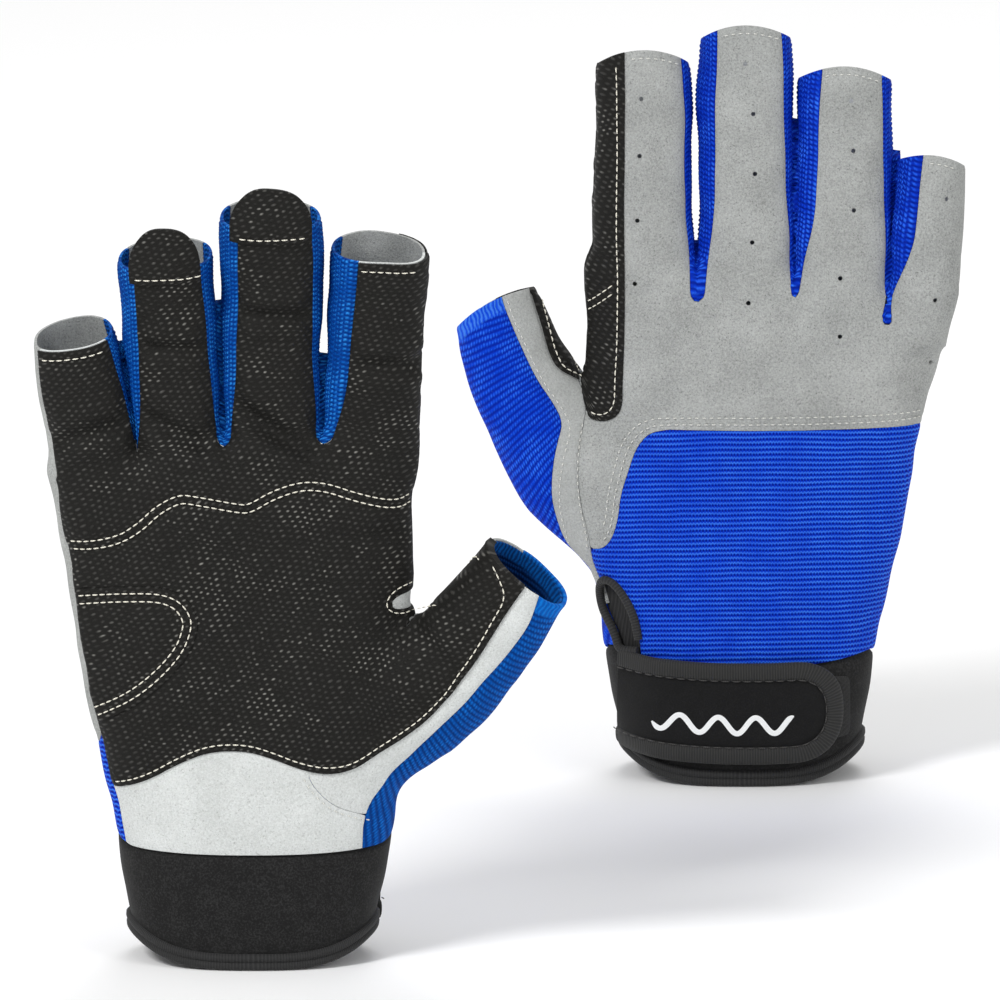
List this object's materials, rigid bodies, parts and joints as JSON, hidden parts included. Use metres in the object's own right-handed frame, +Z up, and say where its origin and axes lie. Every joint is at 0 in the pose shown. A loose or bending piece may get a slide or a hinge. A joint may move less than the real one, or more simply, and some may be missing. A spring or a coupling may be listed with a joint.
{
  "type": "pair of cut-finger sailing gloves",
  "caption": "Pair of short-finger sailing gloves with gripped leather palm, stretch back, cut fingertips and a hook-and-loop wrist strap.",
  "frame": {"origin": "on the floor, midway between the two gloves", "axes": "+Z up towards the fingertips; glove 1 shows its palm to -Y; glove 2 is turned half a turn and shows its back to -Y"},
  "size_m": [0.2601, 0.2826, 0.2171],
  "materials": {
    "grip_leather": "black embossed synthetic leather, semi-gloss bumps",
    "grey_suede": "pale grey brushed microfibre suede",
    "blue_knit": "ribbed royal blue stretch knit",
    "stretch_fabric": "cross-ribbed royal blue elastic fabric",
    "cuff_neoprene": "black fabric-faced neoprene",
    "binding_tape": "black rolled binding tape",
    "strap_fabric": "black fabric-faced neoprene strap",
    "hook_and_loop": "black hook-and-loop tape"
  },
  "bodies": {
    "glove_1_hand": {"glove_1_cuff": "cuff_neoprene", "glove_1_cuff_binding": "binding_tape", "glove_1_loop_patch": "hook_and_loop", "glove_1_slit_gusset": "strap_fabric", "glove_1_slit_binding": "binding_tape", "glove_1_palm_base": "grey_suede", "glove_1_palm_grip": "grip_leather", "glove_1_heel_patch": "grip_leather", "glove_1_back_panel": "grey_suede", "glove_1_back_stretch": "stretch_fabric", "glove_1_side_patch": "grip_leather", "glove_1_thumb_base": "grey_suede", "glove_1_thumb_grip": "grip_leather", "glove_1_thumb_back": "blue_knit"},
    "glove_1_fingers": {"glove_1_finger_fronts": "grey_suede", "glove_1_finger_grips": "grip_leather", "glove_1_finger_backs": "grey_suede", "glove_1_gusset_index_middle": "blue_knit", "glove_1_gusset_middle_ring": "blue_knit", "glove_1_gusset_ring_pinky": "blue_knit", "glove_1_index_patch": "grip_leather", "glove_1_middle_pull_tab": "grip_leather", "glove_1_ring_pull_tab": "grip_leather"},
    "glove_1_strap": {"glove_1_strap": "strap_fabric", "glove_1_strap_binding": "binding_tape", "glove_1_hook_patch": "hook_and_loop"},
    "glove_2_hand": {"glove_2_cuff": "cuff_neoprene", "glove_2_cuff_binding": "binding_tape", "glove_2_loop_patch": "hook_and_loop", "glove_2_slit_gusset": "strap_fabric", "glove_2_slit_binding": "binding_tape", "glove_2_palm_base": "grey_suede", "glove_2_palm_grip": "grip_leather", "glove_2_heel_patch": "grip_leather", "glove_2_back_panel": "grey_suede", "glove_2_back_stretch": "stretch_fabric", "glove_2_side_patch": "grip_leather", "glove_2_thumb_base": "grey_suede", "glove_2_thumb_grip": "grip_leather", "glove_2_thumb_back": "blue_knit"},
    "glove_2_fingers": {"glove_2_finger_fronts": "grey_suede", "glove_2_finger_grips": "grip_leather", "glove_2_finger_backs": "grey_suede", "glove_2_gusset_index_middle": "blue_knit", "glove_2_gusset_middle_ring": "blue_knit", "glove_2_gusset_ring_pinky": "blue_knit", "glove_2_index_patch": "grip_leather", "glove_2_middle_pull_tab": "grip_leather", "glove_2_ring_pull_tab": "grip_leather"},
    "glove_2_strap": {"glove_2_strap": "strap_fabric", "glove_2_strap_binding": "binding_tape", "glove_2_hook_patch": "hook_and_loop"}
  },
  "joints": [
    {"name": "pair_apart", "type": "slide", "parent": "glove_1_hand", "child": "glove_2_hand", "axis": [0, 1, 0], "range_m": [0, 0.06]},
    {"name": "glove_1_finger_curl", "type": "hinge", "parent": "glove_1_hand", "child": "glove_1_fingers", "pos_m": [-0.0685, -0.122, 0.134], "axis": [1, 0, 0], "range_deg": [0, 40]},
    {"name": "glove_1_strap_open", "type": "hinge", "parent": "glove_1_hand", "child": "glove_1_strap", "pos_m": [-0.0322, -0.1074, 0.022], "axis": [-0.153, 0, -0.9882], "range_deg": [0, 100]},
    {"name": "glove_2_finger_curl", "type": "hinge", "parent": "glove_2_hand", "child": "glove_2_fingers", "pos_m": [0.0685, 0.122, 0.134], "axis": [-1, 0, 0], "range_deg": [0, 40]},
    {"name": "glove_2_strap_open", "type": "hinge", "parent": "glove_2_hand", "child": "glove_2_strap", "pos_m": [0.0322, 0.1074, 0.022], "axis": [0.153, 0, -0.9882], "range_deg": [0, 100]}
  ]
}
